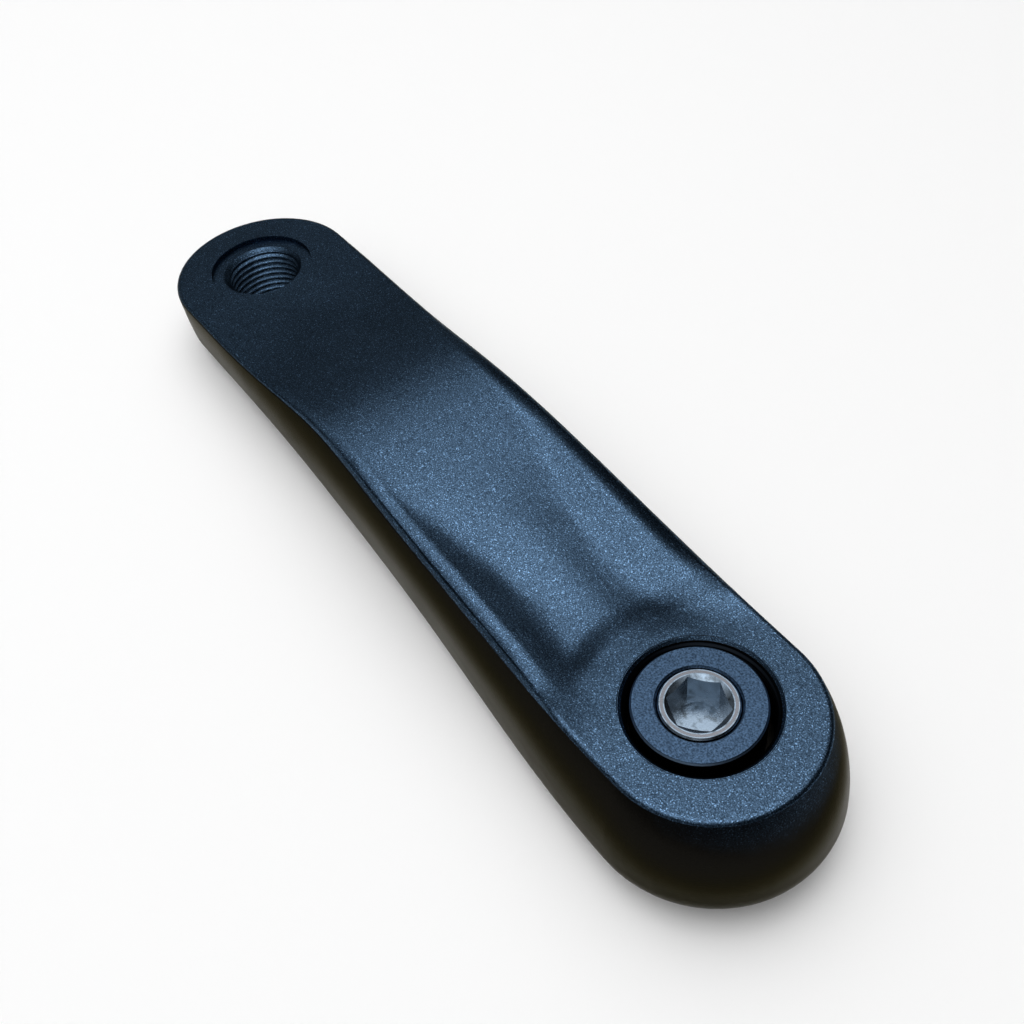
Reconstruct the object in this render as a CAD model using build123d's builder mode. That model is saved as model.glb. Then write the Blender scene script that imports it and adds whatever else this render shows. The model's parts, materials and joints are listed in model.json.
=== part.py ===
# Left-hand bicycle crank arm: one aluminium forging with the crank bolt and its dust collar in the boss.
# It is drawn about the spindle axis, with z = 0 at the inboard face of the boss, +X towards the pedal axis and
# +Z outboard, and is then leaned to the pose in which it lies on a table.
import os
from math import asin, atan2, cos, degrees, hypot, pi, radians, sin, tan

from build123d import *

# Arm
arm_length = 127.0  # spindle axis to pedal axis
boss_thickness = 22.0  # inboard face to outboard face
pedal_end_thickness = 15.0
pedal_end_radius = 16.9
pedal_face_rise = 5.0  # pedal face above the boss face

# Outline at the parting line of the forging, as half widths
boss_outline_radius = 19.7
boss_outline_shift = 2.2  # circle's centre behind the spindle axis
parting_middle_x = 45.0
parting_middle_inset = 1.95  # narrower than the boss
parting_waist_to_pedal = 30.0  # along the arm to the pedal axis
parting_waist_inset = 0.05  # narrower than the pedal end
parting_drop = 11.3  # below the boss face at the spindle axis
parting_climb = 9.5  # from the spindle axis to the pedal axis
lower_draft = 12.0  # degrees

# Crown outline, as half widths, which sets how far the flanks lean in above the parting line
crown_rise = 20.0  # above the parting line
crown_boss_inset = 7.2  # in from the parting line
crown_belly_x = 60.0
crown_belly_inset = 2.35  # in from the parting line's middle
crown_waist_to_pedal = 39.0  # along the arm to the pedal axis
crown_waist_inset = 2.6  # in from the pedal end
crown_shoulder_to_pedal = 18.0
crown_shoulder_inset = 0.55

# Sculpted outboard face, as rises above the boss face
crest_to_pedal = 55.0  # along the arm to the pedal axis
crest_rise = 7.8  # before it is rounded over
crest_blend = 2.6
pedal_flat_to_pedal = 26.0  # from where the fall off the crest would meet the pedal face
pedal_flat_blend = 1.0
rim_foot_x = 11.2  # where the slope of the rims would meet the boss face
rim_foot_blend = 1.0
rim_inset = 2.15  # in from the parting line's middle
neck_foot_x = 27.4  # where the slope of the neck would meet the boss face
neck_foot_blend = 1.2
boss_flat_x = 10.0  # end of the boss flat, on an arc across the arm
boss_flat_radius = 18.0
neck_dip = 0.7  # from the boss flat down to the neck
neck_dip_length = 11.0
neck_x = 25.7  # where the two scoops come closest
neck_half_width = 6.75
scoop_depth = 0.7  # below the neck
scoop_spread_to_boss = 0.57  # sideways per length along the arm
scoop_spread_to_arm = 0.37
scoop_inset = 1.6  # least distance from the scoop's middle to the rim
scoop_fade_x = 39.6
scoop_end_x = 61.6
wall_hollow = 0.4  # 0 for a straight scoop wall, 1 for a wave

# Inboard side
back_flat_x = 2.0  # end of the flat under the boss
back_middle_x = 60.0
back_middle_drop = 6.0  # below the pedal end's back
back_level_to_pedal = 19.0  # from the start of the level back to the pedal axis

# Rounded edges
rim_radius = 0.9
back_radius_share = 0.3  # of the boss's radius

# Puller bore, bolt seat and spindle socket
puller_bore_radius = 11.0  # M22 x 1
seat_depth = 8.6
bore_chamfer = 0.5
socket_flats = 12.65  # across flats at the seat
socket_taper = 2.0  # degrees a side
socket_corner_radius = 1.6

# Pedal hole
pedal_hole_radius = 7.144  # 9/16 in, 20 threads to the inch
pedal_spot_radius = 9.9
pedal_spot_depth = 1.0
pedal_mouth_chamfer = 0.55

# Crank bolt
bolt_shift = 0.35  # the loose bolt and collar lie this far off the bore's axis, towards the pedal
bolt_shank_radius = 3.6  # core of an M8 x 1 thread
bolt_length = 12.5
bolt_tip_chamfer = 0.8
flange_radius = 9.0
flange_thickness = 2.2
head_radius = 5.8
head_sink = 0.1  # below the boss face
head_chamfer = 0.25
hex_flats = 8.0
hex_turn = 38.0  # degrees from the arm's length to a corner
hex_depth = 4.6
hex_mouth_radius = 4.8
hex_mouth_depth = 0.5
floor_recess_radius = 3.1
floor_recess_depth = 0.4

# Dust collar
collar_radius = 9.65
collar_gap = 0.2  # round the bolt head
collar_sink = 0.1  # below the boss face
collar_edge = 0.3

# Worked out from the above
parting_middle = boss_outline_radius - parting_middle_inset
parting_waist = pedal_end_radius - parting_waist_inset
crown_boss_radius = boss_outline_radius - crown_boss_inset
crown_belly = parting_middle - crown_belly_inset
crown_waist = pedal_end_radius - crown_waist_inset
crown_shoulder = pedal_end_radius - crown_shoulder_inset
rim_half_width = parting_middle - rim_inset
back_radius = back_radius_share * boss_outline_radius
scoop_widest = rim_half_width - scoop_inset
crest_x = arm_length - crest_to_pedal
pedal_flat_x = arm_length - pedal_flat_to_pedal
seat_z = boss_thickness - seat_depth
pedal_face_z = boss_thickness + pedal_face_rise
pedal_back_z = pedal_face_z - pedal_end_thickness
pedal_reach = arm_length + pedal_end_radius
boss_reach = boss_outline_radius + boss_outline_shift
stock = 3 * boss_thickness  # more than any cut needs
parting_lean = degrees(atan2(parting_climb, arm_length))
parting_plane = Plane((0, 0, boss_thickness - parting_drop)).rotated((0, -parting_lean, 0))
root_drop = boss_thickness + parting_climb  # past the lowest of the inboard side
root_inset = root_drop * tan(radians(lower_draft))
pedal_spot_z = pedal_face_z - pedal_spot_depth
bolt_top_z = boss_thickness - head_sink
bolt_tip_z = seat_z - bolt_length
flange_top_z = seat_z + flange_thickness
collar_height = boss_thickness - collar_sink - flange_top_z

# Fineness of the sculpted face and of the search for the rest pose
face_step = 6.0  # between sections of the face
face_marks_each_side = 10
face_span_share = 1.3  # of the boss's radius, so that the face reaches past the outline
rest_tries = 60  # points along the curve of the back
facing_down = -0.8  # normals of the back, but not of the chamfers, lie below this
face_stations = [i * face_step for i in range(-int(boss_reach / face_step) - 1, int(pedal_reach / face_step) + 2)]
face_mark_step = face_span_share * boss_outline_radius / face_marks_each_side
face_marks = [face_mark_step * i for i in range(-face_marks_each_side, face_marks_each_side + 1)]


def ease(travel):
    """Half a cosine wave from 0 to 1."""
    travel = min(max(travel, 0), 1)
    return (1 - cos(pi * travel)) / 2


def higher(rise, other, blend):
    """The higher of two rises, rounded where they come within the blend of each other."""
    return max(rise, other) + max(blend - abs(rise - other), 0) ** 2 / (4 * blend)


def slope_rise(x, foot_x, foot_rise, foot_blend):
    """Up a slope from the boss, over the crest and down to the pedal face."""
    climb = crest_rise * (x - foot_x) / (crest_x - foot_x)
    fall = crest_rise + (pedal_face_rise - crest_rise) * (x - crest_x) / (pedal_flat_x - crest_x)
    climb = higher(foot_rise, climb, foot_blend)
    fall = higher(pedal_face_rise, fall, pedal_flat_blend)
    return climb + fall - higher(climb, fall, crest_blend)


def scoop_offset(x):
    """Half distance between the two scoops, a hyperbola that is narrowest at the neck."""
    spread = scoop_spread_to_boss if x < neck_x else scoop_spread_to_arm
    return min(hypot(neck_half_width, spread * (x - neck_x)), scoop_widest)


def face_rise(x, y):
    """Rise of the outboard face: down from the middle into the scoop, then up its wall to the rim."""
    past_boss = hypot(x + boss_flat_radius - boss_flat_x, y) - boss_flat_radius
    leaving = ease(past_boss / neck_dip_length)
    fading = ease((x - scoop_fade_x) / (scoop_end_x - scoop_fade_x))
    rim = slope_rise(x, rim_foot_x, 0, rim_foot_blend)
    middle = slope_rise(x, neck_foot_x, -neck_dip * leaving, neck_foot_blend)
    floor = middle - scoop_depth * leaving * (1 - fading)
    offset = scoop_offset(x)
    if abs(y) < offset:
        return middle + (floor - middle) * ease(abs(y) / offset)
    up_wall = (abs(y) - offset) / (rim_half_width - offset)
    return floor + (rim - floor) * (up_wall + wall_hollow * (ease(up_wall) - up_wall))


# Sculpted outboard face, as the tool that cuts it: a loft through sections across the arm
with BuildPart() as face_tool:
    for x in face_stations:
        with BuildSketch(Plane.YZ.offset(x)):
            with BuildLine():
                face_line = Spline(*[(y, boss_thickness + face_rise(x, y)) for y in face_marks])
                Polyline(face_line @ 1, (face_marks[-1], stock), (face_marks[0], stock), face_line @ 0)
            make_face()
    loft()

# Outlines of the forging at its parting line, below the inboard side and at the crown
with BuildSketch(parting_plane) as parting_outline:
    with BuildLine():
        parting_boss = CenterArc((-boss_outline_shift, 0), boss_outline_radius, 90, 90)
        Spline(
            parting_boss @ 0,
            (parting_middle_x, parting_middle),
            (arm_length - parting_waist_to_pedal, parting_waist),
            (arm_length, pedal_end_radius),
            tangents=((1, 0), (1, 0)),
        )
        CenterArc((arm_length, 0), pedal_end_radius, 0, 90)
        mirror(about=Plane.XZ)
    make_face()

with BuildSketch(parting_plane.offset(-root_drop)) as root_outline:
    with BuildLine():
        root_boss = CenterArc((-boss_outline_shift, 0), boss_outline_radius - root_inset, 90, 90)
        Spline(
            root_boss @ 0,
            (parting_middle_x, parting_middle - root_inset),
            (arm_length - parting_waist_to_pedal, parting_waist - root_inset),
            (arm_length, pedal_end_radius - root_inset),
            tangents=((1, 0), (1, 0)),
        )
        CenterArc((arm_length, 0), pedal_end_radius - root_inset, 0, 90)
        mirror(about=Plane.XZ)
    make_face()

with BuildSketch(parting_plane.offset(crown_rise)) as crown_outline:
    with BuildLine():
        crown_boss = CenterArc((0, 0), crown_boss_radius, 90, 90)
        Spline(
            crown_boss @ 0,
            (crown_belly_x, crown_belly),
            (arm_length - crown_waist_to_pedal, crown_waist),
            (arm_length - crown_shoulder_to_pedal, crown_shoulder),
            (arm_length, pedal_end_radius),
            tangents=((1, 0), (1, 0)),
        )
        CenterArc((arm_length, 0), pedal_end_radius, 0, 90)
        mirror(about=Plane.XZ)
    make_face()

# Forged and machined arm
with BuildPart() as crank_arm:
    # Drafted down from the parting line, and up to the crown with flanks that lean in
    loft([root_outline.sketch, parting_outline.sketch, crown_outline.sketch])
    # Sculpted face
    add(face_tool.part, mode=Mode.SUBTRACT)
    # Inboard side: flat under the boss, then a slow curve up to the level back of the pedal end
    with BuildSketch(Plane.XZ.offset(-stock)):
        with BuildLine():
            boss_back = Line((-stock, 0), (back_flat_x, 0))
            arm_back = Line((arm_length - back_level_to_pedal, pedal_back_z), (arm_length + stock, pedal_back_z))
            back_curve = Spline(
                boss_back @ 1,
                (back_middle_x, pedal_back_z - back_middle_drop),
                arm_back @ 0,
                tangents=(boss_back % 1, arm_back % 0),
            )
            Polyline(arm_back @ 1, (arm_length + stock, -2 * stock), (-stock, -2 * stock), boss_back @ 0)
        make_face()
    extrude(amount=2 * stock, mode=Mode.SUBTRACT)
    # Puller bore down to the bolt seat, with a chamfered mouth
    with BuildSketch(Plane.XZ):
        with BuildLine():
            Polyline(
                (0, seat_z),
                (puller_bore_radius, seat_z),
                (puller_bore_radius, boss_thickness - bore_chamfer),
                (puller_bore_radius + 2 * bore_chamfer, boss_thickness + bore_chamfer),
                (0, boss_thickness + bore_chamfer),
                close=True,
            )
        make_face()
    revolve(axis=Axis.Z, mode=Mode.SUBTRACT)
    # Square socket for the spindle, tapering towards the bolt seat
    with BuildSketch(Plane.XY.offset(seat_z)):
        RectangleRounded(socket_flats, socket_flats, socket_corner_radius)
    extrude(amount=-seat_z, taper=-socket_taper, mode=Mode.SUBTRACT)
    # Pedal hole, with its spot face and chamfered mouths
    with BuildSketch(Plane.XZ):
        with BuildLine():
            Polyline(
                (arm_length, pedal_back_z - pedal_mouth_chamfer),
                (arm_length + pedal_hole_radius + 2 * pedal_mouth_chamfer, pedal_back_z - pedal_mouth_chamfer),
                (arm_length + pedal_hole_radius, pedal_back_z + pedal_mouth_chamfer),
                (arm_length + pedal_hole_radius, pedal_spot_z - pedal_mouth_chamfer),
                (arm_length + pedal_hole_radius + pedal_mouth_chamfer, pedal_spot_z),
                (arm_length + pedal_spot_radius, pedal_spot_z),
                (arm_length + pedal_spot_radius, stock),
                (arm_length, stock),
                close=True,
            )
        make_face()
    revolve(axis=Axis((arm_length, 0, 0), (0, 0, 1)), mode=Mode.SUBTRACT)
    # Rounded edges, outside the holes
    sculpted_face = crank_arm.faces().sort_by(SortBy.AREA)[-1]
    fillet(sculpted_face.outer_wire().edges(), radius=rim_radius)
    back_faces = crank_arm.faces().filter_by(lambda face: face.normal_at().Z < facing_down)
    back_edges = ShapeList([edge for face in back_faces for edge in face.outer_wire().edges()])
    fillet(back_edges.filter_by(GeomType.LINE, reverse=True), radius=back_radius)

# Crank bolt: shank, flange and head turned in one, with a hexagon socket
with BuildPart() as crank_bolt:
    with BuildSketch(Plane.XZ):
        with BuildLine():
            Polyline(
                (0, bolt_tip_z),
                (bolt_shank_radius - bolt_tip_chamfer, bolt_tip_z),
                (bolt_shank_radius, bolt_tip_z + bolt_tip_chamfer),
                (bolt_shank_radius, seat_z),
                (flange_radius, seat_z),
                (flange_radius, flange_top_z),
                (head_radius, flange_top_z),
                (head_radius, bolt_top_z - head_chamfer),
                (head_radius - head_chamfer, bolt_top_z),
                (0, bolt_top_z),
                close=True,
            )
        make_face()
    revolve(axis=Axis.Z)
    with BuildSketch(Plane.XY.offset(bolt_top_z)):
        RegularPolygon(hex_flats / 2, 6, major_radius=False, rotation=hex_turn)
    extrude(amount=-hex_depth, mode=Mode.SUBTRACT)
    with BuildSketch(Plane.XY.offset(bolt_top_z - hex_depth)):
        Circle(floor_recess_radius)
    extrude(amount=-floor_recess_depth, mode=Mode.SUBTRACT)
    with Locations((0, 0, bolt_top_z)):
        Cone(
            hex_flats / 2,
            hex_mouth_radius,
            hex_mouth_depth,
            align=(Align.CENTER, Align.CENTER, Align.MAX),
            mode=Mode.SUBTRACT,
        )

# Dust collar, which stands on the flange round the head
with BuildPart() as bolt_collar:
    with BuildSketch(Plane.XY.offset(flange_top_z)):
        Circle(collar_radius)
        Circle(head_radius + collar_gap, mode=Mode.SUBTRACT)
    extrude(amount=collar_height)
    collar_face = bolt_collar.faces().sort_by(Axis.Z)[-1]
    chamfer(collar_face.edges(), length=collar_edge)


def lean_from(touch):
    """Lean at which the arm lies on a point of its back and on the rounded back edge of the pedal end."""
    reach = pedal_reach - back_radius - touch.X
    height = pedal_back_z + back_radius - touch.Y
    return degrees(atan2(height, reach) - asin(back_radius / hypot(height, reach)))


# Lying on a table, the arm leans until both touch
rest_lean = max(lean_from(back_curve @ (i / rest_tries)) for i in range(rest_tries))
rest_pose = Location((0, 0, 0), (0, rest_lean, 0))
bolt_place = rest_pose * Location((bolt_shift, 0, 0))
os.makedirs("parts", exist_ok=True)
for piece, place, name in (
    (crank_arm, rest_pose, "crank_arm"),
    (crank_bolt, bolt_place, "crank_bolt"),
    (bolt_collar, bolt_place, "bolt_collar"),
):
    placed = piece.part.moved(place)
    placed.label = name
    export_step(placed, f"parts/{name}.step")
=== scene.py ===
# Black bicycle crank arm with its bolt and collar: looks, threads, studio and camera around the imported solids.
import json
from math import atan2, cos, degrees, pi, radians, sin

import bpy
import numpy as np
from mathutils import Euler, Matrix, Vector


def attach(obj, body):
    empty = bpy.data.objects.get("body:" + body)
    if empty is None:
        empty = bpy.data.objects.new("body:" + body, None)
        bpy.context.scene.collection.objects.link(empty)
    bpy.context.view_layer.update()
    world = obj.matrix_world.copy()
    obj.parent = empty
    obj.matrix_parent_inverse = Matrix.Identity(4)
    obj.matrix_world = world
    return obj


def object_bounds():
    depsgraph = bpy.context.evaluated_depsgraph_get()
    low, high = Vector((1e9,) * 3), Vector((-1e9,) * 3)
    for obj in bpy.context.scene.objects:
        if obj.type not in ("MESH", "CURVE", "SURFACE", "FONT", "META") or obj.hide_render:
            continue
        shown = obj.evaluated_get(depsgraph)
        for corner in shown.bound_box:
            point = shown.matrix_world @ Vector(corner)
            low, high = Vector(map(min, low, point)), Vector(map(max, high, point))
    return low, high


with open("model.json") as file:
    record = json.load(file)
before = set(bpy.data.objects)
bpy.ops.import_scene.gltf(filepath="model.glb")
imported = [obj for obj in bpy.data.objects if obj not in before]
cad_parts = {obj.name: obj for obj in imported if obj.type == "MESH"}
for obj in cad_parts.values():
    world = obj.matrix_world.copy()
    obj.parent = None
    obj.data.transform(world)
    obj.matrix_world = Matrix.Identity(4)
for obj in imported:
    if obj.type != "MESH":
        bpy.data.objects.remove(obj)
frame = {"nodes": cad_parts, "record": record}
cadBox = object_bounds()
nodes = frame["nodes"]
mounts = {mount["name"]: mount for mount in frame["record"]["mounts"]}
spindleAxis = mounts["pedal_thread"]["axis"]  # outboard, along the spindle and the pedal axle
restLean = atan2(spindleAxis[0], spindleAxis[2])  # the arm lies leaned about Y on the table
armToRow = Matrix.Rotation(restLean, 4, "Y")  # from the arm's own axes, z along the spindle, to the row's
mm = 0.001
noiseLow, noiseHigh = 0.3, 0.7  # most values of a noise texture lie between these
print("frame loaded, nodes", sorted(nodes), "lean", round(degrees(restLean), 2))


def hexToLinear(code):
    # sRGB hex to linear RGBA
    channels = [int(code[i:i + 2], 16) / 255 for i in (1, 3, 5)]
    return [c / 12.92 if c <= 0.04045 else ((c + 0.055) / 1.055) ** 2.4 for c in channels] + [1.0]


def addNode(tree, kind, settings=None, **links):
    # one node: settings by attribute or input name, links as input name to output socket
    node = tree.nodes.new(kind)
    for key, value in (settings or {}).items():
        if hasattr(node, key):
            setattr(node, key, value)
        else:
            node.inputs[key].default_value = value
    for key, socket in links.items():
        tree.links.new(socket, node.inputs[int(key[1:]) if key[0] == "i" and key[1:].isdigit() else key])
    return node


def startMaterial(name):
    material = bpy.data.materials.new(name)
    material.use_nodes = True
    tree = material.node_tree
    tree.nodes.clear()
    shader = addNode(tree, "ShaderNodeBsdfPrincipled")
    addNode(tree, "ShaderNodeOutputMaterial", None, Surface=shader.outputs["BSDF"])
    place = addNode(tree, "ShaderNodeTexCoord").outputs["Object"]
    return material, tree, shader, place


def setRamp(node, stops):
    ramp = node.color_ramp
    while len(ramp.elements) < len(stops):
        ramp.elements.new(0.5)
    for element, (where, colour) in zip(ramp.elements, stops):
        element.position = where
        element.color = colour if len(colour) == 4 else [*colour, 1.0]
    return node


def radiusAround(tree, place, centre):
    # distance from the axis through the centre, parallel to the spindle
    own = addNode(
        tree,
        "ShaderNodeMapping",
        {"vector_type": "TEXTURE", "Location": armToRow @ Vector(centre), "Rotation": (0.0, restLean, 0.0)},
        Vector=place,
    )
    parts = addNode(tree, "ShaderNodeSeparateXYZ", None, Vector=own.outputs["Vector"])
    flat = addNode(tree, "ShaderNodeCombineXYZ", None, X=parts.outputs["X"], Y=parts.outputs["Y"])
    return addNode(tree, "ShaderNodeVectorMath", {"operation": "LENGTH"}, i0=flat.outputs["Vector"]).outputs["Value"]


# materials

# aluminium, bead-blasted then dyed black in the anodising bath: a tinted metal with a satin, blue-black face that
# sparkles from the blasted grain; the flanks get a darker, browner colour, which is painted shade
armFinish = {
    "face": "#334558",
    # noise value and share of the face's colour: pits of the grain, middle, higher parts, the few tips that sparkle
    "grainStops": [(0.3, 0.4), (0.5, 1.0), (0.64, 1.7), (0.78, 6.5)],
    # painted shade: where the normal leans off upward, the flanks get this darker, browner colour than the face
    "flank": "#151412",
    "edgeTint": "#c4c2ba",  # reflection at a glancing angle
    "flankFrom": 0.36,  # upward part of the normal, from flank to face
    "flankTo": 0.62,
    "roughness": 0.31,
    "roughnessSpread": 0.03,  # either way, with the cloud
    "grain": 0.2 * mm,  # a blasted dimple is about 0.1 mm, drawn coarser so that it shows
    "grainDepth": 0.025 * mm,
    "cloud": 14 * mm,  # slow unevenness of the dye
    "pedalCentre": (127 * mm, 0.0, 0.0),
    "spotRadius": 10.6 * mm,  # inside it the machined walls keep the face's colour, free of the flanks' painted shade
    "boreRadius": 11.05 * mm,  # inside it the puller bore takes the flanks' darker colour, painted shade down the bore
    # fine form of the face, in the arm's own axes
    "lipAt": 13.2 * mm,  # from the arm's middle to the lip, outside which the rims round over
    "lipEnd": 17.0 * mm,
    "lipRadius": 2.6 * mm,
    "armEnd": 150 * mm,
    "lipStops": [(12.0, 0.0), (24.0, 1.0), (66.0, 1.0), (92.0, 0.0)],  # strength along the arm, mm
    "crestRise": 1.1 * mm,
    "crestStops": [(48.0, 0.0), (66.0, 0.3), (83.0, 1.0), (100.0, 0.4), (118.0, 0.0)],
    "flatCentre": 8.0 * mm,  # behind the spindle axis
    "flatRadius": 18.0 * mm,
    "stepStart": 24.0 * mm,
    "dipEnd": 29.0 * mm,
    "stepLeft": 0.7 * mm,
    "stepRight": 0.3 * mm,
    "stepBlend": 4 * mm,  # to each side of the middle, from one height to the other
    # bellied flanks, by distance above the inboard face along the parting line's lean
    "armLength": 127 * mm,
    "partingClimb": 9.5 * mm,
    "bellyAt": 14.0 * mm,
    "bellyRadius": 24 * mm,
}


def makeArmMaterial():
    material, tree, shader, place = startMaterial("black_anodised_blasted_aluminium")
    setup = armFinish
    grain = addNode(tree, "ShaderNodeTexNoise", {"Scale": 1 / setup["grain"], "Detail": 1.0}, Vector=place)
    cloud = addNode(tree, "ShaderNodeTexNoise", {"Scale": 1 / setup["cloud"], "Detail": 3.0}, Vector=place)
    normal = addNode(tree, "ShaderNodeNewGeometry").outputs["Normal"]
    facing = addNode(tree, "ShaderNodeSeparateXYZ", None, Vector=normal)
    split = {"interpolation_type": "SMOOTHSTEP", "From Min": setup["flankFrom"], "From Max": setup["flankTo"]}
    onFace = addNode(tree, "ShaderNodeMapRange", split, Value=facing.outputs["Z"])
    onFlank = addNode(tree, "ShaderNodeMapRange", {**split, "To Min": 1.0, "To Max": 0.0}, Value=facing.outputs["Z"])
    own = addNode(tree, "ShaderNodeMapping", {"vector_type": "TEXTURE", "Rotation": (0.0, restLean, 0.0)}, Vector=place)
    parts = addNode(tree, "ShaderNodeSeparateXYZ", None, Vector=own.outputs["Vector"])
    # lip: past it, the height falls as half the square of the distance over the radius
    aside = addNode(tree, "ShaderNodeMath", {"operation": "ABSOLUTE"}, i0=parts.outputs["Y"])
    past = addNode(
        tree,
        "ShaderNodeMapRange",
        {"From Min": setup["lipAt"], "From Max": setup["lipEnd"], "To Max": setup["lipEnd"] - setup["lipAt"]},
        Value=aside.outputs["Value"],
    ).outputs["Result"]
    square = addNode(tree, "ShaderNodeMath", {"operation": "MULTIPLY"}, i0=past, i1=past)
    fall = addNode(tree, "ShaderNodeMath", {"operation": "MULTIPLY"}, i0=square.outputs["Value"])
    fall.inputs[1].default_value = -0.5 / setup["lipRadius"]
    along = addNode(tree, "ShaderNodeMapRange", {"From Max": setup["armEnd"]}, Value=parts.outputs["X"])
    strength = setRamp(
        addNode(tree, "ShaderNodeValToRGB", None, Fac=along.outputs["Result"]),
        [(where * mm / setup["armEnd"], [level] * 3) for where, level in setup["lipStops"]],
    )
    lip = addNode(
        tree, "ShaderNodeMath", {"operation": "MULTIPLY"}, i0=fall.outputs["Value"], i1=strength.outputs["Color"]
    )
    # crest: a hump along the arm
    hump = setRamp(
        addNode(tree, "ShaderNodeValToRGB", None, Fac=along.outputs["Result"]),
        [(where * mm / setup["armEnd"], [level] * 3) for where, level in setup["crestStops"]],
    )
    hump.color_ramp.interpolation = "B_SPLINE"
    crest = addNode(
        tree, "ShaderNodeMath", {"operation": "MULTIPLY_ADD"}, i0=hump.outputs["Color"], i2=lip.outputs["Value"]
    )
    crest.inputs[1].default_value = setup["crestRise"]
    # boss edge: the flat runs on, and then drops in a shorter step
    reach = addNode(tree, "ShaderNodeMath", {"operation": "ADD"}, i0=parts.outputs["X"])
    reach.inputs[1].default_value = setup["flatCentre"]
    level = addNode(tree, "ShaderNodeCombineXYZ", None, X=reach.outputs["Value"], Y=parts.outputs["Y"])
    outward = addNode(tree, "ShaderNodeVectorMath", {"operation": "LENGTH"}, i0=level.outputs["Vector"])
    slow = addNode(
        tree,
        "ShaderNodeMapRange",
        {"interpolation_type": "SMOOTHSTEP", "From Min": setup["flatRadius"], "From Max": setup["dipEnd"]},
        Value=outward.outputs["Value"],
    )
    quick = addNode(
        tree,
        "ShaderNodeMapRange",
        {"interpolation_type": "SMOOTHSTEP", "From Min": setup["stepStart"], "From Max": setup["dipEnd"]},
        Value=outward.outputs["Value"],
    )
    step = addNode(
        tree, "ShaderNodeMath", {"operation": "SUBTRACT"}, i0=slow.outputs["Result"], i1=quick.outputs["Result"]
    )
    sided = addNode(
        tree,
        "ShaderNodeMapRange",
        {
            "From Min": -setup["stepBlend"],
            "From Max": setup["stepBlend"],
            "To Min": setup["stepRight"],
            "To Max": setup["stepLeft"],
        },
        Value=parts.outputs["Y"],
    )
    relief = addNode(
        tree,
        "ShaderNodeMath",
        {"operation": "MULTIPLY_ADD"},
        i0=step.outputs["Value"],
        i1=sided.outputs["Result"],
        i2=crest.outputs["Value"],
    )
    formed = addNode(
        tree, "ShaderNodeBump", {"Distance": 1.0}, Strength=onFace.outputs["Result"], Height=relief.outputs["Value"]
    )
    # flanks: bellied, as the height falls with the square of the distance from the belly over the radius
    lean = atan2(setup["partingClimb"], setup["armLength"])
    rise = addNode(tree, "ShaderNodeVectorMath", {"operation": "DOT_PRODUCT"}, i0=own.outputs["Vector"])
    rise.inputs[1].default_value = (-sin(lean), 0.0, cos(lean))
    offBelly = addNode(tree, "ShaderNodeMath", {"operation": "SUBTRACT"}, i0=rise.outputs["Value"])
    offBelly.inputs[1].default_value = setup["bellyAt"]
    off = offBelly.outputs["Value"]
    bow = addNode(tree, "ShaderNodeMath", {"operation": "MULTIPLY"}, i0=off, i1=off)
    belly = addNode(tree, "ShaderNodeMath", {"operation": "MULTIPLY"}, i0=bow.outputs["Value"])
    belly.inputs[1].default_value = -0.5 / setup["bellyRadius"]
    bellied = addNode(
        tree,
        "ShaderNodeBump",
        {"Distance": 1.0},
        Strength=onFlank.outputs["Result"],
        Height=belly.outputs["Value"],
        Normal=formed.outputs["Normal"],
    )
    bump = addNode(
        tree,
        "ShaderNodeBump",
        {"Strength": 1.0, "Distance": setup["grainDepth"]},
        Height=grain.outputs["Fac"],
        Normal=bellied.outputs["Normal"],
    )
    rough = addNode(
        tree,
        "ShaderNodeMapRange",
        {
            "From Min": noiseLow,
            "From Max": noiseHigh,
            "To Min": setup["roughness"] - setup["roughnessSpread"],
            "To Max": setup["roughness"] + setup["roughnessSpread"],
        },
        Value=cloud.outputs["Fac"],
    )
    face = hexToLinear(setup["face"])[:3]
    speckled = setRamp(
        addNode(tree, "ShaderNodeValToRGB", None, Fac=grain.outputs["Fac"]),
        [(where, [c * share for c in face]) for where, share in setup["grainStops"]],
    )
    onSpot = addNode(
        tree, "ShaderNodeMath", {"operation": "LESS_THAN"}, i0=radiusAround(tree, place, setup["pedalCentre"])
    )
    onSpot.inputs[1].default_value = setup["spotRadius"]
    # painted shade: inside the bore radius the arm takes the flanks' darker colour
    outsideBore = addNode(
        tree, "ShaderNodeMath", {"operation": "GREATER_THAN"}, i0=radiusAround(tree, place, (0.0, 0.0, 0.0))
    )
    outsideBore.inputs[1].default_value = setup["boreRadius"]
    # painted shade: the face colour where the normal faces up or on the pedal spot face, the flanks' darker colour
    # elsewhere and down the puller bore
    faceOrSpot = addNode(
        tree, "ShaderNodeMath", {"operation": "MAXIMUM"}, i0=onFace.outputs["Result"], i1=onSpot.outputs["Value"]
    )
    faceShare = addNode(
        tree, "ShaderNodeMath", {"operation": "MULTIPLY"}, i0=faceOrSpot.outputs["Value"], i1=outsideBore.outputs["Value"]
    )
    colour = addNode(
        tree, "ShaderNodeMix", {"data_type": "RGBA"}, i0=faceShare.outputs["Value"], i7=speckled.outputs["Color"]
    )
    colour.inputs[6].default_value = hexToLinear(setup["flank"])
    tree.links.new(colour.outputs[2], shader.inputs["Base Color"])
    tree.links.new(rough.outputs["Result"], shader.inputs["Roughness"])
    tree.links.new(bump.outputs["Normal"], shader.inputs["Normal"])
    shader.inputs["Metallic"].default_value = 1.0
    shader.inputs["Specular Tint"].default_value = hexToLinear(setup["edgeTint"])
    return material


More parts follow.
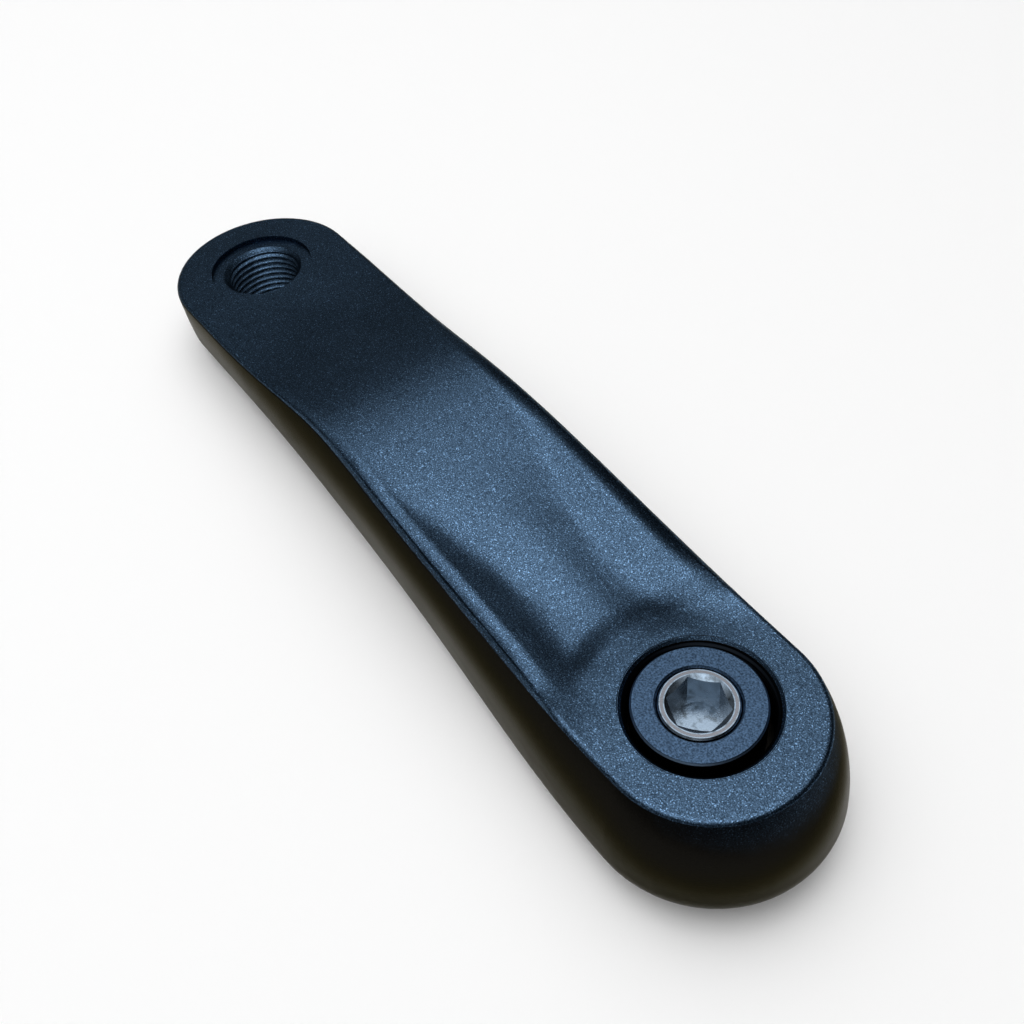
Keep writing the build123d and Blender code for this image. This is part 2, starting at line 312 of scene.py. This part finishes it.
# aluminium collar, fine-turned then black anodised: smoother than the arm, with a painted highlight on its outer edge
# and painted shade on the wall below it
collarFinish = {
    "face": "#33455a",
    # painted highlight: a lighter band on the outer edge
    "edge": "#5d7188",
    "edgeFrom": 9.35 * mm,
    "edgeTo": 9.5 * mm,
    "wall": "#101419",  # painted shade on the wall below the edge, down in the gap to the arm
    "wallFrom": 9.6 * mm,
    "wallTo": 9.64 * mm,
    "centre": (0.35 * mm, 0.0, 0.0),  # in the arm's own axes
    "roughness": 0.34,
    "grain": 0.26 * mm,
    "grainDepth": 0.02 * mm,
    "grainStops": [(0.32, 0.55), (0.7, 1.7)],  # noise value and share of the face's colour
}


def makeCollarMaterial():
    material, tree, shader, place = startMaterial("black_anodised_turned_aluminium")
    setup = collarFinish
    grain = addNode(tree, "ShaderNodeTexNoise", {"Scale": 1 / setup["grain"], "Detail": 1.0}, Vector=place)
    bump = addNode(
        tree, "ShaderNodeBump", {"Strength": 1.0, "Distance": setup["grainDepth"]}, Height=grain.outputs["Fac"]
    )
    face = hexToLinear(setup["face"])[:3]
    speckled = setRamp(
        addNode(tree, "ShaderNodeValToRGB", None, Fac=grain.outputs["Fac"]),
        [(where, [c * share for c in face]) for where, share in setup["grainStops"]],
    )
    radius = radiusAround(tree, place, setup["centre"])
    # painted highlight: the outer edge band is coloured lighter
    onEdgeHighlight = addNode(
        tree, "ShaderNodeMapRange", {"From Min": setup["edgeFrom"], "From Max": setup["edgeTo"]}, Value=radius
    )
    # painted shade: the wall below the edge is coloured dark
    onWallShade = addNode(
        tree, "ShaderNodeMapRange", {"From Min": setup["wallFrom"], "From Max": setup["wallTo"]}, Value=radius
    )
    edgeHighlighted = addNode(
        tree, "ShaderNodeMix", {"data_type": "RGBA"}, i0=onEdgeHighlight.outputs["Result"], i6=speckled.outputs["Color"]
    )
    edgeHighlighted.inputs[7].default_value = hexToLinear(setup["edge"])
    colour = addNode(tree, "ShaderNodeMix", {"data_type": "RGBA"}, i0=onWallShade.outputs["Result"], i6=edgeHighlighted.outputs[2])
    colour.inputs[7].default_value = hexToLinear(setup["wall"])
    tree.links.new(colour.outputs[2], shader.inputs["Base Color"])
    tree.links.new(bump.outputs["Normal"], shader.inputs["Normal"])
    shader.inputs["Roughness"].default_value = setup["roughness"]
    shader.inputs["Metallic"].default_value = 1.0
    return material


# steel, cold-headed and zinc plated: cool silver, uneven from the die, dull and greyer on the flat of the head, with
# painted shade on the faces turned sideways
boltFinish = {
    "zinc": "#8090a0",
    "zincAt": 0.5,  # noise value of the mottle
    "stain": "#5a656f",
    "stainAt": 0.32,
    "head": "#6b6d73",
    "wall": "#65717c",  # painted shade on the sides of the hexagon and the other faces turned sideways
    "wallFacing": 0.15,  # outboard part of the normal, from the sides to the floor
    "floorFacing": 0.7,
    "headFrom": 4.95 * mm,
    "headTo": 5.42 * mm,
    "headEdge": 0.06,  # share of that width over which the colour changes
    "centre": (0.35 * mm, 0.0, 0.0),  # in the arm's own axes
    "roughness": 0.2,
    "smoother": 0.06,  # and rougher, with the mottle
    "rougher": 0.08,
    "mottle": 1.1 * mm,
    "grain": 0.16 * mm,
    "grainDepth": 0.012 * mm,
}


def makeBoltMaterial():
    material, tree, shader, place = startMaterial("zinc_plated_headed_steel")
    setup = boltFinish
    mottle = addNode(tree, "ShaderNodeTexNoise", {"Scale": 1 / setup["mottle"], "Detail": 4.0}, Vector=place)
    grain = addNode(tree, "ShaderNodeTexNoise", {"Scale": 1 / setup["grain"], "Detail": 2.0}, Vector=place)
    tone = setRamp(
        addNode(tree, "ShaderNodeValToRGB", None, Fac=mottle.outputs["Fac"]),
        [(setup["stainAt"], hexToLinear(setup["stain"])), (setup["zincAt"], hexToLinear(setup["zinc"]))],
    )
    radius = radiusAround(tree, place, setup["centre"])
    across = addNode(
        tree, "ShaderNodeMapRange", {"From Min": setup["headFrom"], "From Max": setup["headTo"]}, Value=radius
    )
    edge = setup["headEdge"]
    onHead = setRamp(
        addNode(tree, "ShaderNodeValToRGB", None, Fac=across.outputs["Result"]),
        [(0.0, [0.0] * 3), (edge, [1.0] * 3), (1 - edge, [1.0] * 3), (1.0, [0.0] * 3)],
    )
    normal = addNode(tree, "ShaderNodeNewGeometry").outputs["Normal"]
    outboard = addNode(tree, "ShaderNodeVectorMath", {"operation": "DOT_PRODUCT"}, i0=normal)
    outboard.inputs[1].default_value = spindleAxis
    onFloor = addNode(
        tree,
        "ShaderNodeMapRange",
        {"From Min": setup["wallFacing"], "From Max": setup["floorFacing"]},
        Value=outboard.outputs["Value"],
    )
    # painted shade: faces turned sideways to the spindle, the hexagon's sides among them, get the darker wall colour
    plated = addNode(
        tree, "ShaderNodeMix", {"data_type": "RGBA"}, i0=onFloor.outputs["Result"], i7=tone.outputs["Color"]
    )
    plated.inputs[6].default_value = hexToLinear(setup["wall"])
    colour = addNode(tree, "ShaderNodeMix", {"data_type": "RGBA"}, i0=onHead.outputs["Color"], i6=plated.outputs[2])
    colour.inputs[7].default_value = hexToLinear(setup["head"])
    rough = addNode(
        tree,
        "ShaderNodeMapRange",
        {
            "From Min": noiseLow,
            "From Max": noiseHigh,
            "To Min": setup["roughness"] - setup["smoother"],
            "To Max": setup["roughness"] + setup["rougher"],
        },
        Value=mottle.outputs["Fac"],
    )
    bump = addNode(
        tree, "ShaderNodeBump", {"Strength": 1.0, "Distance": setup["grainDepth"]}, Height=grain.outputs["Fac"]
    )
    tree.links.new(colour.outputs[2], shader.inputs["Base Color"])
    tree.links.new(rough.outputs["Result"], shader.inputs["Roughness"])
    tree.links.new(bump.outputs["Normal"], shader.inputs["Normal"])
    shader.inputs["Metallic"].default_value = 1.0
    return material


# aluminium thread, cut and black anodised with the arm: no blasting, and coloured dark as painted shade down the bore
boreFinish = {
    # painted shade: the thread down in the bore is coloured dark
    "colour": "#101419",
    "roughness": 0.38,
}


def makeBoreMaterial():
    material, _, shader, _ = startMaterial("black_anodised_cut_aluminium")
    shader.inputs["Base Color"].default_value = hexToLinear(boreFinish["colour"])
    shader.inputs["Roughness"].default_value = boreFinish["roughness"]
    shader.inputs["Metallic"].default_value = 1.0
    return material


armMaterial = makeArmMaterial()
collarMaterial = makeCollarMaterial()
boltMaterial = makeBoltMaterial()
boreMaterial = makeBoreMaterial()
for name, material in (("crank_arm", armMaterial), ("bolt_collar", collarMaterial), ("crank_bolt", boltMaterial)):
    nodes[name].data.materials.clear()
    nodes[name].data.materials.append(material)
print("materials set")


# threads: a closed sleeve whose one wall is a V thread and whose other wall is buried in the metal that carries it,
# in mm and in the arm's own axes; each mouth is cut a little past the chamfer of the solid, so that the chamfer shows

pedalThread = {
    "name": "pedal_thread_coils",
    "centre": (127.0, 0.0),
    "low": 12.0,
    "high": 26.0,
    "wall": 7.144,
    "crest": 6.52,
    "pitch": 1.27,
    "hand": -1,
    "mouth": 0.63,
    "bury": 0.08,
}
pullerThread = {
    "name": "puller_thread_coils",
    "centre": (0.0, 0.0),
    "low": 13.4,
    "high": 22.0,
    "wall": 11.0,
    "crest": 10.46,
    "pitch": 1.0,
    "hand": 1,
    "mouth": 0.58,
    "bury": 0.08,
}
shankThread = {
    "name": "bolt_thread_coils",
    "centre": (0.35, 0.0),
    "low": 0.9,
    "high": 12.6,
    "wall": 3.6,
    "crest": 4.0,
    "pitch": 1.0,
    "hand": 1,
    "mouth": 0.88,
    "bury": 0.08,
}


def makeThread(setup, material, around=160, perPitch=12):
    # radius = wall plus depth times a flat-topped V wave of (height minus lead times turn),
    # cut back by 45 degree mouths
    rootFlat, flankRun = 0.12, 0.74  # shares of the V's height: flat at the root, and the sloped flank
    depth = setup["crest"] - setup["wall"]
    inward = -1 if depth < 0 else 1
    rows = int((setup["high"] - setup["low"]) / setup["pitch"] * perPitch) + 1
    turn = np.linspace(0, 2 * pi, around, endpoint=False)
    height = np.linspace(setup["low"], setup["high"], rows)
    turns, heights = np.meshgrid(turn, height)
    phase = (heights - setup["low"]) / setup["pitch"] - setup["hand"] * turns / (2 * pi)
    wave = 1 - np.abs(2 * (phase % 1) - 1)
    wave = np.clip((wave - rootFlat) / flankRun, 0, 1)
    threaded = setup["wall"] + depth * wave
    toEnd = np.minimum(heights - setup["low"], setup["high"] - heights)
    mouth = setup["wall"] - inward * (setup["mouth"] - toEnd)
    radius = np.maximum(threaded, mouth) if inward < 0 else np.minimum(threaded, mouth)
    buried = setup["wall"] - inward * (setup["bury"] + np.maximum(setup["mouth"] - toEnd, 0))
    radii = np.concatenate([radius, buried[::-1]])
    levels = np.concatenate([heights, heights[::-1]])
    angles = np.concatenate([turns, turns[::-1]])
    across = np.stack([
        setup["centre"][0] + radii * np.cos(angles),
        setup["centre"][1] + radii * np.sin(angles),
        levels,
    ], axis=-1).reshape(-1, 3) * mm
    points = across @ np.array(armToRow.to_3x3()).T
    a, b = np.meshgrid(np.arange(around), np.arange(2 * rows))
    right, up = (a + 1) % around, (b + 1) % (2 * rows)
    corners = [b * around + a, b * around + right, up * around + right, up * around + a]
    faces = np.stack(corners, axis=-1).reshape(-1, 4)
    if inward < 0:
        faces = faces[:, ::-1]
    mesh = bpy.data.meshes.new(setup["name"])
    mesh.from_pydata(points.tolist(), [], faces.tolist())
    mesh.polygons.foreach_set("use_smooth", np.ones(len(faces), bool))
    mesh.materials.append(material)
    piece = bpy.data.objects.new(setup["name"], mesh)
    bpy.context.scene.collection.objects.link(piece)
    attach(piece, "root")


makeThread(pedalThread, armMaterial)
makeThread(pullerThread, boreMaterial, around=220)
makeThread(shankThread, boltMaterial, around=96)
print("threads made")


# studio: pale floor, a soft tent that is bright overhead and towards the pedal end and dim low down, white backdrop

studio = {
    "floorColour": "#fafafa",
    "floorRoughness": 0.9,
    "floorSize": 6.0,
    "fadeFrom": 0.4,  # far out the floor passes into the white backdrop
    "fadeTo": 0.95,
    "tentRadius": 1.4,
    "tentBright": 3.9,
    "tentDim": 0.4,  # on the far side from the bright one
    "brightTowards": 35.0,  # degrees round from X
    "dimAt": -0.6,  # share of the radius along that direction
    "brightAt": 0.1,
    # brightness by height
    "tentStops": [(0.0, 0.03), (0.5, 0.04), (0.6, 0.11), (0.72, 0.27), (0.85, 0.54), (0.93, 0.76), (1.0, 1.0)],
}


def backdropRays(tree):
    # 1 for the rays that show the backdrop: straight to the camera, or by way of metal or glass
    rays = addNode(tree, "ShaderNodeLightPath").outputs
    direct = addNode(
        tree, "ShaderNodeMath", {"operation": "MAXIMUM"}, i0=rays["Is Camera Ray"], i1=rays["Is Glossy Ray"]
    )
    return addNode(
        tree, "ShaderNodeMath", {"operation": "MAXIMUM"}, i0=direct.outputs["Value"], i1=rays["Is Transmission Ray"]
    ).outputs["Value"]


def makeFloor(setup):
    material, tree, shader, place = startMaterial("pale_studio_floor")
    shader.inputs["Base Color"].default_value = hexToLinear(setup["floorColour"])
    shader.inputs["Roughness"].default_value = setup["floorRoughness"]
    shader.inputs["Specular IOR Level"].default_value = 0.0
    away = addNode(tree, "ShaderNodeVectorMath", {"operation": "LENGTH"}, i0=place)
    faded = addNode(
        tree,
        "ShaderNodeMapRange",
        {"interpolation_type": "SMOOTHSTEP", "From Min": setup["fadeFrom"], "From Max": setup["fadeTo"]},
        Value=away.outputs["Value"],
    )
    share = addNode(
        tree, "ShaderNodeMath", {"operation": "MULTIPLY"}, i0=faded.outputs["Result"], i1=backdropRays(tree)
    )
    white = addNode(tree, "ShaderNodeEmission", {"Color": (1, 1, 1, 1)})
    mixed = addNode(
        tree,
        "ShaderNodeMixShader",
        None,
        i0=share.outputs["Value"],
        i1=shader.outputs["BSDF"],
        i2=white.outputs["Emission"],
    )
    tree.links.new(mixed.outputs["Shader"], tree.nodes["Material Output"].inputs["Surface"])
    half = setup["floorSize"] / 2
    low = cadBox[0].z
    corners = [(-half, -half, low), (half, -half, low), (half, half, low), (-half, half, low)]
    mesh = bpy.data.meshes.new("studio_floor")
    mesh.from_pydata(corners, [], [(0, 1, 2, 3)])
    mesh.materials.append(material)
    floor = bpy.data.objects.new("studio_floor", mesh)
    bpy.context.scene.collection.objects.link(floor)


def makeTent(setup, around=48, up=16):
    # a half sphere over the object: radius times the unit direction of azimuth and elevation
    skirt, crownGap = 0.02, 0.01  # radians below the floor, and left for the top cap
    turns, rises = np.meshgrid(
        np.linspace(0, 2 * pi, around, endpoint=False), np.linspace(-skirt, pi / 2 - crownGap, up)
    )
    points = setup["tentRadius"] * np.stack(
        [np.cos(turns) * np.cos(rises), np.sin(turns) * np.cos(rises), np.sin(rises)], axis=-1
    ).reshape(-1, 3)
    a, b = np.meshgrid(np.arange(around), np.arange(up - 1))
    right = (a + 1) % around
    faces = np.stack(
        [b * around + a, (b + 1) * around + a, (b + 1) * around + right, b * around + right], axis=-1
    ).reshape(-1, 4).tolist()
    faces.append(list(range((up - 1) * around, up * around))[::-1])
    mesh = bpy.data.meshes.new("studio_tent")
    mesh.from_pydata(points.tolist(), [], faces)
    material = bpy.data.materials.new("lit_tent_cloth")
    material.use_nodes = True
    tree = material.node_tree
    tree.nodes.clear()
    place = addNode(tree, "ShaderNodeTexCoord").outputs["Object"]
    parts = addNode(tree, "ShaderNodeSeparateXYZ", None, Vector=place)
    height = addNode(tree, "ShaderNodeMapRange", {"From Max": setup["tentRadius"]}, Value=parts.outputs["Z"])
    ramp = addNode(tree, "ShaderNodeValToRGB", None, Fac=height.outputs["Result"])
    setRamp(ramp, [(where, [level] * 3) for where, level in setup["tentStops"]])
    bearing = radians(setup["brightTowards"])
    along = addNode(tree, "ShaderNodeVectorMath", {"operation": "DOT_PRODUCT"}, i0=place)
    along.inputs[1].default_value = (cos(bearing), sin(bearing), 0.0)
    sideways = addNode(
        tree,
        "ShaderNodeMapRange",
        {
            "interpolation_type": "SMOOTHSTEP",
            "From Min": setup["dimAt"] * setup["tentRadius"],
            "From Max": setup["brightAt"] * setup["tentRadius"],
            "To Min": setup["tentDim"],
            "To Max": setup["tentBright"],
        },
        Value=along.outputs["Value"],
    )
    glow = addNode(tree, "ShaderNodeEmission", None, Color=ramp.outputs["Color"], Strength=sideways.outputs["Result"])
    addNode(tree, "ShaderNodeOutputMaterial", None, Surface=glow.outputs["Emission"])
    mesh.materials.append(material)
    tent = bpy.data.objects.new("studio_tent", mesh)
    bpy.context.scene.collection.objects.link(tent)
    tent.visible_camera = False
    tent.visible_shadow = False


def makeWorld():
    world = bpy.data.worlds.new("white_backdrop")
    bpy.context.scene.world = world
    world.use_nodes = True
    tree = world.node_tree
    tree.nodes.clear()
    back = addNode(tree, "ShaderNodeBackground", {"Color": (1, 1, 1, 1)}, Strength=backdropRays(tree))
    addNode(tree, "ShaderNodeOutputWorld", None, Surface=back.outputs["Background"])


makeFloor(studio)
makeTent(studio)
makeWorld()
print("studio set")


# camera, in the arm's own axes

view = {
    "place": (-63.366, 62.118, 162.232),  # mm
    "turn": (41.6952, 5.526, -126.3058),  # degrees
    "lens": 41.344,
    "sensor": 36.0,
}
camera = bpy.data.cameras.new("photo_camera")
camera.lens = view["lens"]
camera.sensor_width = view["sensor"]
camera.clip_start = 0.005
cameraObject = bpy.data.objects.new("photo_camera", camera)
bpy.context.scene.collection.objects.link(cameraObject)
turned = Euler([radians(angle) for angle in view["turn"]], "XYZ").to_matrix().to_4x4()
cameraObject.matrix_world = armToRow @ Matrix.Translation(Vector(view["place"]) * mm) @ turned
bpy.context.scene.camera = cameraObject
bpy.context.scene.view_settings.view_transform = "Standard"
print("camera set")
